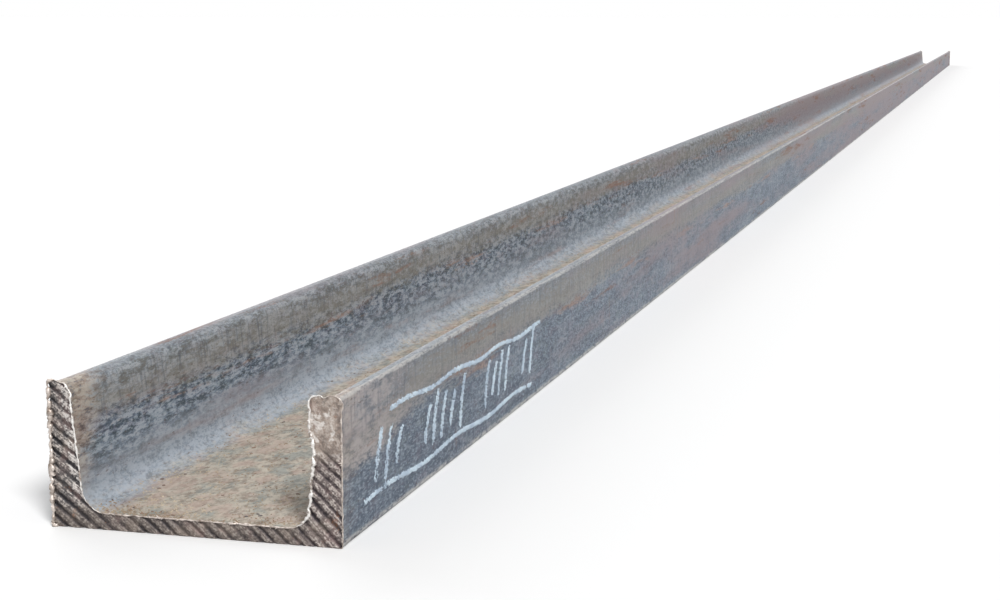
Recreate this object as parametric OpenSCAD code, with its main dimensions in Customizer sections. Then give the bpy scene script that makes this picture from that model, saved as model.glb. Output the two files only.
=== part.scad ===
// Hot-rolled steel channel with tapered flanges: one bar of stock, sawn to length.
// It lies on the back of its web, with both flanges standing up.
// X runs across the web, Y runs along the bar and Z goes up from the back of the web.
// The origin is in the middle of the bar's underside.

/* [Bar] */
// Length that the bar is sawn to
bar_length = 6000; // [2000:10:12000]
// Depth of the section, from the back of one flange to the back of the other
section_depth = 100; // [80:1:160]
// Width of a flange, from the back of the web to the flange's tip
flange_width = 48; // [40:1:70]

/* [Thickness] */
// Thickness of the web
web_thickness = 5.3; // [4.5:0.1:9]
// Thickness of a flange half way between the web and the tip
flange_thickness = 8.5; // [7.5:0.1:12]
// Taper of a flange's inner face, as thickness lost for each millimetre of height
flange_taper = 0.1; // [0.04:0.01:0.12]

/* [Rounding] */
// Radius of the root, where a flange's inner face runs into the web
root_radius = 8.5; // [4:0.1:12]
// Radius of the toe, at the inner corner of a flange's tip
toe_radius = 4.2; // [1:0.1:4.5]
// Radius of the outer corner of a flange's tip
tip_radius = 1.2; // [0.4:0.1:1.5]
// Radius of the heel, where the web's back meets a flange's back
heel_radius = 1; // [0.4:0.1:3]

/* [Hidden] */
$fn = 96;

// How far an arc crosses the faces that it runs into, so that it meets them cleanly
bite = 0.002;
// How far a round's blank reaches past those faces
overlap = 0.2;

// Height at which the flange thickness is measured
gauge_height = (flange_width + web_thickness) / 2;

// Distance from the section's middle plane to a flange's inner face, at a height
function inner_face(height) =
    section_depth / 2 - flange_thickness - (gauge_height - height) * flange_taper;

// A direction brought to length one
function unit(direction) = direction / norm(direction);

// Corners of the right-hand half of the section
root = [inner_face(web_thickness), web_thickness];
toe = [inner_face(flange_width), flange_width];
tip = [section_depth / 2, flange_width];
heel = [section_depth / 2, 0];

// Directions along the sides of those corners, each of length one
inward = [-1, 0];
outward = [1, 0];
upward = [0, 1];
downward = [0, -1];
up_the_flange = unit(toe - root);

// The space between a corner and the arc that touches both of its sides.
// It is what a root gains and what an outer corner loses.
module spandrel(corner, side_a, side_b, radius) {
    half_angle = acos(side_a * side_b) / 2;
    run = radius / tan(half_angle);
    to_centre = unit(side_a + side_b) * radius / sin(half_angle);
    kite = [[0, 0], side_a * run - to_centre, -to_centre, side_b * run - to_centre];
    translate(corner + to_centre)
        difference() {
            polygon(kite * (1 + overlap / radius));
            circle(radius + bite);
        }
}

// Repeats a shape on the left-hand side
module both_sides() {
    children();
    mirror([1, 0])
        children();
}

// The blank before rounding: a rectangle less the trough between the flanges
module sharp_section() {
    difference() {
        translate([-section_depth / 2, 0])
            square([section_depth, flange_width]);
        polygon([
            [-root.x, root.y], root,
            toe, toe + upward,
            [-toe.x, toe.y] + upward, [-toe.x, toe.y]
        ]);
    }
}

// The rolled section
module section() {
    difference() {
        union() {
            sharp_section();
            both_sides()
                spandrel(root, inward, up_the_flange, root_radius);
        }
        both_sides() {
            spandrel(toe, outward, -up_the_flange, toe_radius);
            spandrel(tip, inward, downward, tip_radius);
            spandrel(heel, inward, upward, heel_radius);
        }
    }
}

// The whole bar: the section carried straight from one sawn end to the other
module channel() {
    color("slategray")
        rotate([90, 0, 0])
            linear_extrude(height = bar_length, center = true)
                section();
}

channel();
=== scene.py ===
"""Looks of a hot-rolled steel channel bar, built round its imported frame.

The bar lies on the back of its web with its trough up. X runs across it, Y along it and Z up.
Every shape is made in metres in the frame's own axes, and every finish is procedural.
"""

from __future__ import annotations

import logging
import math
from dataclasses import dataclass, fields
from enum import Enum
from itertools import product
from typing import Iterable, Optional, Sequence, Union

import bpy
import numpy as np
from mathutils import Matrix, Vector


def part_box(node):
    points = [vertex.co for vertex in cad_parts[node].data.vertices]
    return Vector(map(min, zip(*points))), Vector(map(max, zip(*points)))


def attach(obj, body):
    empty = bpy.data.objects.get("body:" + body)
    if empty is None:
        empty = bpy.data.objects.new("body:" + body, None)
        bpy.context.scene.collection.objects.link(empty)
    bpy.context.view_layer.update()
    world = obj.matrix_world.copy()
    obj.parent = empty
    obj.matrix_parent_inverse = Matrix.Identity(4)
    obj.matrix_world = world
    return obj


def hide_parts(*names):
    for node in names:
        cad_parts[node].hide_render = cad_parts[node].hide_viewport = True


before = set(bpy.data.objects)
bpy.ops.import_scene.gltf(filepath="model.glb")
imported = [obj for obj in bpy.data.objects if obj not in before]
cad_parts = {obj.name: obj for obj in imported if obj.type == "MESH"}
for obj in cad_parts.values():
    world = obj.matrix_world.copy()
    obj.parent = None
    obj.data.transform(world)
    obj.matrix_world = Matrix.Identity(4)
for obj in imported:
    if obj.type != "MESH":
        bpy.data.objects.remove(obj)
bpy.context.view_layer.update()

log = logging.getLogger("channel_bar")

MM = 0.001
# How far the burr, the lips and the pushed-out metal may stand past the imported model's box
MOST_OUT = 1.2 * MM
# How places are stretched for noise that follows the rolling, runs along the bar or hangs down it
ROLLED = (1.0, 0.28, 1.0)
ALONG = (1.0, 0.06, 1.0)
UPRIGHT = (1.0, 1.0, 0.10)
NODE = "channel"
BODY = "root"

Colour = tuple[float, float, float, float]


def srgb(red: float, green: float, blue: float) -> Colour:
    """Turns a colour as a screen shows it, 0 to 255 a channel, into the linear one that shaders take.

    Args:
        red: Red, from 0 to 255.
        green: Green, from 0 to 255.
        blue: Blue, from 0 to 255.

    Returns:
        The linear colour with an alpha of one.
    """

    def linear(level: float) -> float:
        """Undoes the screen's gamma for one channel."""
        share = level / 255.0
        return share / 12.92 if share <= 0.04045 else ((share + 0.055) / 1.055) ** 2.4

    return (linear(red), linear(green), linear(blue), 1.0)


class Value:
    """A socket of a node tree that takes part in Python expressions."""

    def __init__(self, nodes: "Nodes", socket: bpy.types.NodeSocket) -> None:
        """Keeps the tree and the socket together."""
        self.nodes = nodes
        self.socket = socket

    def __add__(self, other: "Term") -> "Value":
        """Adds a value or a number."""
        return self.nodes.math("ADD", self, other)

    __radd__ = __add__

    def __sub__(self, other: "Term") -> "Value":
        """Takes a value or a number away."""
        return self.nodes.math("SUBTRACT", self, other)

    def __rsub__(self, other: "Term") -> "Value":
        """Is taken away from a number."""
        return self.nodes.math("SUBTRACT", other, self)

    def __mul__(self, other: "Term") -> "Value":
        """Multiplies by a value or a number."""
        return self.nodes.math("MULTIPLY", self, other)

    __rmul__ = __mul__

    def __truediv__(self, other: "Term") -> "Value":
        """Divides by a value or a number."""
        return self.nodes.math("DIVIDE", self, other)

    def __rtruediv__(self, other: "Term") -> "Value":
        """Divides a number."""
        return self.nodes.math("DIVIDE", other, self)

    def __pow__(self, other: "Term") -> "Value":
        """Raises to a power."""
        return self.nodes.math("POWER", self, other)

    def __neg__(self) -> "Value":
        """Changes the sign."""
        return self.nodes.math("MULTIPLY", self, -1.0)

    def __abs__(self) -> "Value":
        """Drops the sign."""
        return self.nodes.math("ABSOLUTE", self)

    def __gt__(self, other: "Term") -> "Value":
        """Is one where this is greater, and nothing elsewhere."""
        return self.nodes.math("GREATER_THAN", self, other)

    def __lt__(self, other: "Term") -> "Value":
        """Is one where this is less, and nothing elsewhere."""
        return self.nodes.math("LESS_THAN", self, other)

    def at_least(self, other: "Term") -> "Value":
        """The larger of the two."""
        return self.nodes.math("MAXIMUM", self, other)

    def at_most(self, other: "Term") -> "Value":
        """The smaller of the two."""
        return self.nodes.math("MINIMUM", self, other)

    def rise(self, low: "Term", high: "Term") -> "Value":
        """Goes smoothly from nothing at low to one at high, and back to front where low is above high."""
        sockets = {"Value": self, "From Min": low, "From Max": high}
        return self.nodes.add("ShaderNodeMapRange", {"interpolation_type": "SMOOTHSTEP"}, sockets)

    def rise_mm(self, low: float, high: float) -> "Value":
        """Rises in the same way between two places that are given in millimetres."""
        return self.rise(low * MM, high * MM)

    def sign(self) -> "Value":
        """One above nothing, and minus one below it."""
        return self.nodes.math("SIGN", self)

    def root(self) -> "Value":
        """The square root."""
        return self.nodes.math("SQRT", self)


Term = Union[Value, float, int]
Setting = Union[Value, float, int, bool, str, Sequence[float], bpy.types.ID, list[Value]]
Sockets = dict[Union[str, int], Setting]
Tint = Union[Value, Colour]


class Nodes:
    """A node tree that is written as Python expressions."""

    def __init__(self, tree: bpy.types.NodeTree) -> None:
        """Wraps an empty tree."""
        self.tree = tree

    def _socket(self, sockets: bpy.types.bpy_prop_collection, key: Union[str, int]) -> bpy.types.NodeSocket:
        """Finds a socket by its place, its identifier or its name."""
        named = [socket for socket in sockets if socket.identifier == key]
        return named[0] if named else sockets[key]

    def fill(self, made: bpy.types.Node, sockets: Sockets) -> None:
        """Fills a node's inputs.

        Args:
            made: The node.
            sockets: What its inputs hold, by place, identifier or name: a link, a list of links
                or a plain value.
        """
        for key, held in sockets.items():
            socket = self._socket(made.inputs, key)
            for part in held if isinstance(held, list) else [held]:
                if isinstance(part, Value):
                    self.tree.links.new(part.socket, socket)
                else:
                    socket.default_value = part

    def node(
        self, kind: str, settings: Optional[dict[str, object]] = None, sockets: Optional[Sockets] = None
    ) -> bpy.types.Node:
        """Adds a node of any type.

        Args:
            kind: The node's type, such as ShaderNodeMath.
            settings: Its own settings, which are set first. "stops" fills a colour ramp with
                (place, colour) pairs, and "items" is how many items an index switch offers.
            sockets: What its inputs hold, as fill() takes it.

        Returns:
            The new node.
        """
        made = self.tree.nodes.new(kind)
        for name, choice in (settings or {}).items():
            if name == "stops":
                while len(made.color_ramp.elements) < len(choice):
                    made.color_ramp.elements.new(1.0)
                for element, (place, colour) in zip(made.color_ramp.elements, choice):
                    element.position, element.color = place, colour
            elif name == "items":
                while len(made.index_switch_items) < choice:
                    made.index_switch_items.new()
            else:
                setattr(made, name, choice)
        self.fill(made, sockets or {})
        return made

    def add(
        self,
        kind: str,
        settings: Optional[dict[str, object]] = None,
        sockets: Optional[Sockets] = None,
        output: Union[str, int] = 0,
    ) -> Value:
        """Adds a node as node() does and returns one of its outputs."""
        made = self.node(kind, settings, sockets)
        return Value(self, self._socket(made.outputs, output))

    def math(self, operation: str, *terms: Term) -> Value:
        """Works a sum on numbers."""
        return self.add("ShaderNodeMath", {"operation": operation}, dict(enumerate(terms)))

    def vector(self, operation: str, *terms: Setting) -> Value:
        """Works a sum on vectors."""
        return self.add("ShaderNodeVectorMath", {"operation": operation}, dict(enumerate(terms)))

    def scaled(self, vector: Value, factor: Term) -> Value:
        """A vector made longer or shorter."""
        sockets = {0: vector, "Scale": factor}
        return self.add("ShaderNodeVectorMath", {"operation": "SCALE"}, sockets)

    def join(self, x: Term = 0.0, y: Term = 0.0, z: Term = 0.0) -> Value:
        """A vector from its three parts."""
        return self.add("ShaderNodeCombineXYZ", sockets={"X": x, "Y": y, "Z": z})

    def split(self, vector: Value) -> tuple[Value, Value, Value]:
        """The three parts of a vector."""
        made = self.node("ShaderNodeSeparateXYZ", sockets={0: vector})
        return tuple(Value(self, socket) for socket in made.outputs)

    def noise(self, place: Value, grain: float, detail: float = 2.0, roughness: float = 0.5) -> Value:
        """Cloudy noise about one half: the size of its clouds, in metres, and its finer layers."""
        sockets = {"Vector": place, "Scale": 1.0 / grain, "Detail": detail, "Roughness": roughness}
        return self.add("ShaderNodeTexNoise", sockets=sockets)

    def mixed(self, factor: Value, first: Term, second: Term) -> Value:
        """A number between two, by a factor from nothing to one."""
        return factor * second + (1.0 - factor) * first

    def washed(self, colour: Tint, *washes: tuple[Term, Tint]) -> Value:
        """A colour under one wash after another.

        Args:
            colour: The colour that is washed over.
            washes: Each wash's strength, from nothing to one, and its colour.

        Returns:
            The colour that is left.
        """
        for strength, wash in washes:
            sockets = {"Factor_Float": strength, "A_Color": colour, "B_Color": wash}
            colour = self.add("ShaderNodeMix", {"data_type": "RGBA"}, sockets, "Result_Color")
        return colour

    def ramp(self, factor: Value, stops: Sequence[tuple[float, Colour]]) -> Value:
        """A colour that is read from a row of stops."""
        return self.add("ShaderNodeValToRGB", {"stops": stops}, {"Fac": factor})


def emptied(owner: Union[bpy.types.Material, bpy.types.World]) -> bpy.types.NodeTree:
    """Switches the nodes of a material or of the surroundings on, and empties their tree.

    Args:
        owner: The material or the surroundings.

    Returns:
        The empty tree.
    """
    owner.use_nodes = True
    owner.node_tree.nodes.clear()
    return owner.node_tree


@dataclass(frozen=True)
class Blade:
    """The round saw blade that cut the bar, whose teeth leave arcs on the ends."""

    centre_x: float = -0.40
    centre_z: float = -0.45
    nearest: float = 0.56

    def reach(self, x: Value, z: Value) -> Value:
        """Distance of a place on an end from the blade's axle.

        Args:
            x: Place across the bar, in metres.
            z: Height, in metres.

        Returns:
            The distance, in metres.
        """
        across = x - self.centre_x
        up = z - self.centre_z
        return (across * across + up * up).root()


class BarEnd(Enum):
    """The two sawn ends, each with the sign of its place along the bar."""

    NEAR = -1
    FAR = 1


@dataclass(frozen=True)
class Section:
    """Sizes of the rolled section in metres, as numbers or as the inputs of a piece's tree."""

    depth: Term
    flange_width: Term
    length: Term
    web_thickness: Term = 5.3 * MM
    flange_thickness: Term = 8.5 * MM
    flange_taper: Term = 0.1
    root_radius: Term = 8.5 * MM
    toe_radius: Term = 4.2 * MM
    tip_radius: Term = 1.2 * MM
    heel_radius: Term = 1.0 * MM

    def inner_face(self, height: Term) -> Term:
        """Distance from the middle plane to a flange's inner face at a height."""
        gauge_height = (self.flange_width + self.web_thickness) / 2
        return self.depth / 2 - self.flange_thickness - (gauge_height - height) * self.flange_taper

    def corners(self) -> list[tuple[Term, Term, Term]]:
        """The outline's corners, from the left-hand heel over the trough to the right-hand heel.

        Returns:
            Each corner's place across the bar, its height and the radius that it is rounded with.
        """
        right = [
            (self.inner_face(self.web_thickness), self.web_thickness, self.root_radius),
            (self.inner_face(self.flange_width), self.flange_width, self.toe_radius),
            (self.depth / 2, self.flange_width, self.tip_radius),
            (self.depth / 2, 0.0, self.heel_radius),
        ]
        return [(-x, z, radius) for x, z, radius in reversed(right)] + right

    def floor_half(self) -> float:
        """Half the width of the trough's flat floor, between the root roundings.

        Returns:
            The half width, in metres.
        """
        lean = math.atan(self.flange_taper)
        run = self.root_radius * math.tan((math.pi / 2 - lean) / 2)
        return self.inner_face(self.web_thickness) - run


@dataclass(frozen=True)
class PushedMetal:
    """Metal that the saw pushed out round the tip of the near right-hand flange, in rounded lumps.

    A lump is its place across the bar, its height, half its width and half its height, in millimetres.
    The metal is pushed out from the core, and only beyond from_x across the bar and above from_z.
    """

    lumps: tuple[tuple[float, float, float, float], ...] = (
        (43.0, 33.6, 2.3, 6.2),
        (42.9, 40.5, 3.4, 8.2),
        (41.75, 45.6, 2.45, 2.9),
        (47.2, 45.8, 3.5, 3.0),
    )
    core: tuple[float, float] = (45.0, 40.0)
    from_x: float = 38 * MM
    from_z: float = 22 * MM

    def cleared(self, x: Value, z: Value) -> tuple[Value, Value]:
        """Moves a point straight away from the core, until it lies outside all the lumps.

        Args:
            x: Place across the bar, in metres.
            z: Height, in metres.

        Returns:
            The new place across the bar and the new height.
        """
        core_x, core_z = self.core[0] * MM, self.core[1] * MM
        across, up = x - core_x, z - core_z
        times: Term = 1.0
        for lump_x, lump_z, wide, high in self.lumps:
            start_x, start_z = (self.core[0] - lump_x) / wide, (self.core[1] - lump_z) / high
            step_x, step_z = across / (wide * MM), up / (high * MM)
            lean = step_x * start_x + step_z * start_z
            square = step_x * step_x + step_z * step_z
            inside = lean * lean - square * (start_x * start_x + start_z * start_z - 1)
            leaves = (inside.at_least(0.0).root() - lean) / square
            times = (leaves * (inside > 0.0)).at_least(times)
        return across * times + core_x, up * times + core_z


class Shape(Nodes):
    """A geometry tree with named inputs, which makes one piece."""

    def __init__(self, title: str) -> None:
        """Starts the tree.

        Args:
            title: The tree's name.
        """
        super().__init__(bpy.data.node_groups.new(title, "GeometryNodeTree"))
        self.tree.interface.new_socket("Geometry", in_out="INPUT", socket_type="NodeSocketGeometry")
        self.tree.interface.new_socket("Geometry", in_out="OUTPUT", socket_type="NodeSocketGeometry")
        self.entry = self.tree.nodes.new("NodeGroupInput")
        self.held: dict[str, object] = {}

    def _input(self, name: str, kind: str, held: object) -> Value:
        """Adds a named input and remembers what it is to hold.

        Args:
            name: What it is called.
            kind: The type of its socket.
            held: What it is to hold.

        Returns:
            The input.
        """
        made = self.tree.interface.new_socket(name, in_out="INPUT", socket_type=kind)
        self.held[made.identifier] = held
        return Value(self, self._socket(self.entry.outputs, made.identifier))

    def size(self, name: str, held: float) -> Value:
        """A named size or other number."""
        return self._input(name, "NodeSocketFloat", held)

    def count(self, name: str, held: int) -> Value:
        """A named whole number."""
        return self._input(name, "NodeSocketInt", held)

    def finish_input(self, name: str, held: bpy.types.Material) -> Value:
        """A named finish."""
        return self._input(name, "NodeSocketMaterial", held)

    def given(self) -> Value:
        """The geometry that the piece starts from."""
        return Value(self, self.entry.outputs[0])

    def position(self) -> Value:
        """Where a point is."""
        return self.add("GeometryNodeInputPosition")

    def here(self) -> tuple[Value, Value, Value]:
        """Where a point is, as its three parts."""
        return self.split(self.position())

    def normal(self) -> Value:
        """Which way a point or a face faces."""
        return self.add("GeometryNodeInputNormal")

    def index(self) -> Value:
        """A point's place in the row of points."""
        return self.add("GeometryNodeInputIndex")

    def chance(self, low: float, high: float, seed: int) -> Value:
        """A random number for each point, the same in every run."""
        sockets = {"Min_001": low, "Max_001": high, "Seed": seed}
        return self.add("FunctionNodeRandomValue", {"data_type": "FLOAT"}, sockets, "Value_001")

    def chance_vector(self, low: Sequence[float], high: Sequence[float], seed: int) -> Value:
        """A random vector for each point, the same in every run."""
        sockets = {"Min": low, "Max": high, "Seed": seed}
        return self.add("FunctionNodeRandomValue", {"data_type": "FLOAT_VECTOR"}, sockets, "Value")

    def chance_turn(self, low: Sequence[float], high: Sequence[float], seed: int) -> Value:
        """A random turn for each point, between two sets of angles."""
        sockets = {"Euler": self.chance_vector(low, high, seed)}
        return self.add("FunctionNodeEulerToRotation", sockets=sockets)

    def moved(self, geometry: Value, offset: Value) -> Value:
        """Geometry with its points shifted."""
        return self.add("GeometryNodeSetPosition", sockets={"Geometry": geometry, "Offset": offset})

    def placed(self, geometry: Value, position: Value) -> Value:
        """Geometry with its points put in new places."""
        return self.add("GeometryNodeSetPosition", sockets={"Geometry": geometry, "Position": position})

    def shifted(
        self,
        geometry: Value,
        by: Sequence[float] = (0.0, 0.0, 0.0),
        turn: Sequence[float] = (0.0, 0.0, 0.0),
        scale: Sequence[float] = (1.0, 1.0, 1.0),
    ) -> Value:
        """Geometry scaled, turned and then shifted as a whole."""
        sockets = {"Geometry": geometry, "Translation": by, "Rotation": turn, "Scale": scale}
        return self.add("GeometryNodeTransform", sockets=sockets)

    def together(self, parts: list[Value]) -> Value:
        """Several geometries as one."""
        return self.add("GeometryNodeJoinGeometry", sockets={"Geometry": parts})

    def cone(self, sides: int, top: float, bottom: float, height: float) -> Value:
        """A cone with that many sides, or a flat plate where its height is small."""
        sockets = {"Vertices": sides, "Radius Top": top, "Radius Bottom": bottom, "Depth": height}
        return self.add("GeometryNodeMeshCone", sockets=sockets)

    def dressed(self, geometry: Value, finish: Value, only: Setting = True) -> Value:
        """Geometry that wears a finish, on the chosen faces only."""
        sockets = {"Geometry": geometry, "Material": finish, "Selection": only}
        return self.add("GeometryNodeSetMaterial", sockets=sockets)

    def scattered(self, points: Value, piece: Value, turn: Value, scale: Value, only: Value) -> Value:
        """A copy of a shape on each chosen point."""
        sockets = {"Points": points, "Selection": only, "Instance": piece, "Rotation": turn, "Scale": scale}
        return self.add("GeometryNodeInstanceOnPoints", sockets=sockets)

    def realized(self, geometry: Value) -> Value:
        """Geometry with its copies turned into plain mesh."""
        return self.add("GeometryNodeRealizeInstances", sockets={"Geometry": geometry})

    def build(self, name: str, result: Value, start: Optional[bpy.types.Mesh] = None) -> bpy.types.Object:
        """Runs the tree and keeps what it makes as a plain mesh.

        Args:
            name: The piece's name.
            result: The geometry that the tree ends in.
            start: The mesh that the tree is given, if it needs one.

        Returns:
            The piece, at the origin, with no modifier left on it.
        """
        self.node("NodeGroupOutput", sockets={0: result})
        piece = bpy.data.objects.new(name, start or bpy.data.meshes.new(f"{name}_start"))
        bpy.context.scene.collection.objects.link(piece)
        modifier = piece.modifiers.new("shape", "NODES")
        modifier.node_group = self.tree
        for identifier, held in self.held.items():
            modifier[identifier] = held
        graph = bpy.context.evaluated_depsgraph_get()
        mesh = bpy.data.meshes.new_from_object(piece.evaluated_get(graph))
        mesh.name = name
        piece.modifiers.remove(modifier)
        piece.data = mesh
        return piece


class SectionShape(Shape):
    """A tree whose inputs hold the section's sizes, and which can draw its outline."""

    def __init__(self, title: str, section: Section) -> None:
        """Adds one named input for each size of the section.

        Args:
            title: The tree's name.
            section: The sizes that the inputs hold.
        """
        super().__init__(title)
        sizes = {}
        for size in fields(section):
            name = size.name.replace("_", " ").capitalize()
            sizes[size.name] = self.size(name, getattr(section, size.name))
        self.sizes = Section(**sizes)

    def from_end(self) -> Value:
        """How far a point is from the nearer end, and nothing past it."""
        _, y, _ = self.here()
        return (self.sizes.length / 2 - abs(y)).at_least(0.0)

    def lip(self) -> Value:
        """How far the saw pushed the arris outwards at a point: most on the right-hand flange.

        Returns:
            The distance, in metres.
        """
        x, y, z = self.here()
        even = self.noise(self.position(), 2.4 * MM, 3.0, 0.6).rise(0.30, 0.72)
        right = x.rise_mm(34, 38) * x.rise_mm(49, 47) * z.rise_mm(7, 13)
        tip = z.rise_mm(41, 46)
        plain = 1.0 - (y < 0.0) * x.rise_mm(38, 40) * z.rise_mm(36, 42)
        left = x.rise_mm(-47, -49)
        return (0.22 + (right * 0.85 + tip * 0.30) * plain + left * 0.35) * (0.35 + even * 1.2) * MM

    def outline(self, arc_steps: int) -> Value:
        """The closed outline of the section, with its corners rounded.

        Args:
            arc_steps: Straight steps in each rounding.

        Returns:
            A closed curve with X across the bar and Y down.
        """
        corners = self.sizes.corners()
        place = self._picked("VECTOR", [self.join(x, -z) for x, z, _ in corners])
        radius = self._picked("FLOAT", [radius for _, _, radius in corners])
        points = self.add("GeometryNodePoints", sockets={"Count": len(corners), "Position": place})
        line = self.add("GeometryNodePointsToCurves", sockets={"Points": points})
        ring = self.add("GeometryNodeSetSplineCyclic", sockets={"Geometry": line, "Cyclic": True})
        sockets = {"Curve": ring, "Count": arc_steps, "Radius": radius}
        return self.add("GeometryNodeFilletCurve", {"mode": "POLY"}, sockets)

    def _picked(self, kind: str, items: Sequence[Term]) -> Value:
        """For each point in a row, the item that has the same place in a list."""
        sockets = {"Index": self.index(), **{1 + turn: item for turn, item in enumerate(items)}}
        return self.add("GeometryNodeIndexSwitch", {"data_type": kind, "items": len(items)}, sockets)


class Finish(Nodes):
    """The tree of a material with one surface shader."""

    def __init__(self, title: str) -> None:
        """Starts an empty material of that name.

        Args:
            title: The material's name.
        """
        self.material = bpy.data.materials.new(title)
        super().__init__(emptied(self.material))
        self.shader = self.node("ShaderNodeBsdfPrincipled")
        surface = Value(self, self.shader.outputs[0])
        self.node("ShaderNodeOutputMaterial", sockets={"Surface": surface})

    def place(self) -> Value:
        """Where a point is, in its piece's own coordinates."""
        return self.add("ShaderNodeTexCoord", output="Object")

    def surface(self, colour: Value, rough: Value, metal: Term, bump: Value) -> bpy.types.Material:
        """Links the parts of the finish to its shader.

        Args:
            colour: Its base colour.
            rough: Its roughness.
            metal: How metallic it is.
            bump: Its normal.

        Returns:
            The finished material.
        """
        sockets = {"Base Color": colour, "Roughness": rough, "Metallic": metal, "Normal": bump}
        self.fill(self.shader, sockets)
        return self.material

    def bumped(self, relief: Value, height: float, strength: float = 0.8) -> Value:
        """A normal that follows a relief of that height, in metres."""
        sockets = {"Height": relief, "Distance": height, "Strength": strength}
        return self.add("ShaderNodeBump", sockets=sockets)


@dataclass(frozen=True)
class Spot:
    """Where a point of the bar is, as a finish needs it."""

    nodes: Finish
    place: Value
    x: Value
    y: Value
    z: Value
    face_up: Value
    from_near: Value
    from_end: Value
    rolled: Value
    along: Value
    upright: Value

    @staticmethod
    def read(nodes: Finish, length: float) -> "Spot":
        """Reads the point from the object's own coordinates.

        Args:
            nodes: The material's tree.
            length: Length of the bar, in metres.

        Returns:
            The point's place and what follows from it.
        """
        place = nodes.place()
        x, y, z = nodes.split(place)
        _, _, up = nodes.split(nodes.add("ShaderNodeNewGeometry", output="Normal"))
        return Spot(
            nodes,
            place,
            x,
            y,
            z,
            face_up=up,
            from_near=y + length / 2,
            from_end=length / 2 - abs(y),
            rolled=nodes.vector("MULTIPLY", place, ROLLED),
            along=nodes.vector("MULTIPLY", place, ALONG),
            upright=nodes.vector("MULTIPLY", place, UPRIGHT),
        )

    def outside(self) -> Value:
        """One on the outer faces of the flanges, and nothing elsewhere."""
        return abs(self.x).rise_mm(48.5, 49.5)


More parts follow.
